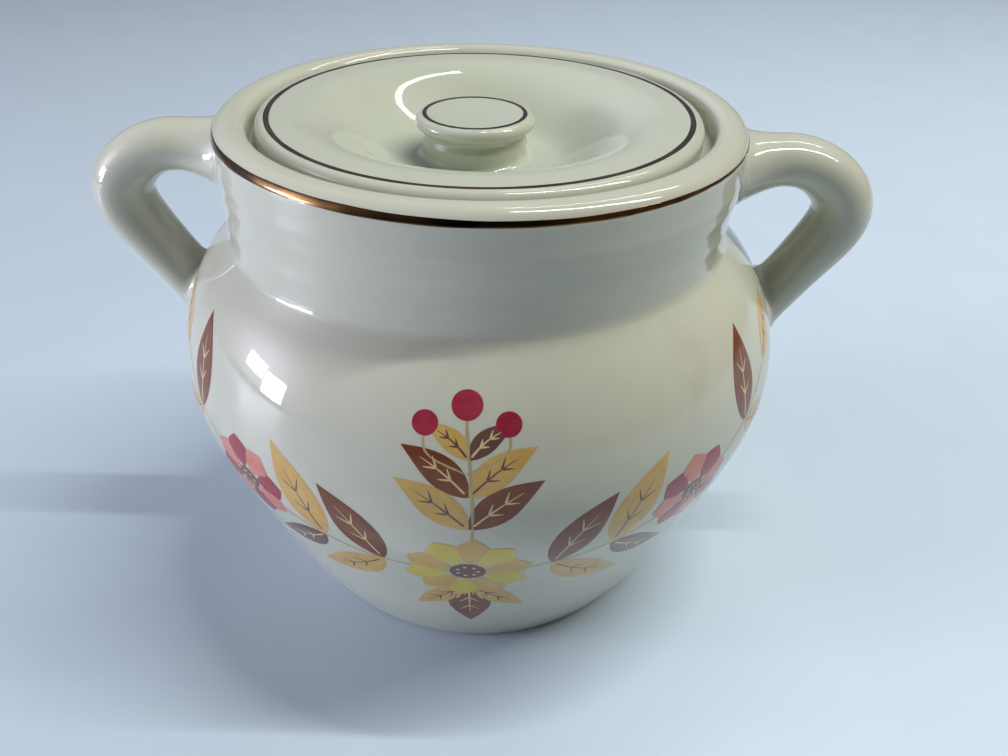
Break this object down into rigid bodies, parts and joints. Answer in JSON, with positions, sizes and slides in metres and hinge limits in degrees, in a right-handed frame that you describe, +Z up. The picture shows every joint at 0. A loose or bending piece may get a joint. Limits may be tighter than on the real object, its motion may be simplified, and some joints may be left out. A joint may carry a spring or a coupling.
{
  "type": "bean pot",
  "caption": "Round-bellied glazed stoneware bean pot with two loop handles, gilt lines and a sunken lid with a button knob that lifts off.",
  "frame": {"origin": "centre of the foot ring, on the surface that the pot stands on", "axes": "+Z up along the pot's axis, +X from the left handle to the right handle, -Y towards the front"},
  "size_m": [0.2748, 0.217, 0.181],
  "materials": {
    "glazed_stoneware": "glossy ivory glaze over stoneware, with a printed garland on the belly",
    "gilt": "burnished gold lustre, fired on over the glaze"
  },
  "bodies": {
    "pot": {"pot_body": "glazed_stoneware", "handle_left": "glazed_stoneware", "handle_right": "glazed_stoneware", "rim_gilt_band": "gilt"},
    "lid": {"lid": "glazed_stoneware", "lid_knob": "glazed_stoneware", "lid_gilt_line": "gilt", "knob_gilt_line": "gilt"}
  },
  "joints": [
    {"name": "lid_lift", "type": "slide", "parent": "pot", "child": "lid", "axis": [0, 0, 1], "range_m": [0, 0.12]}
  ]
}
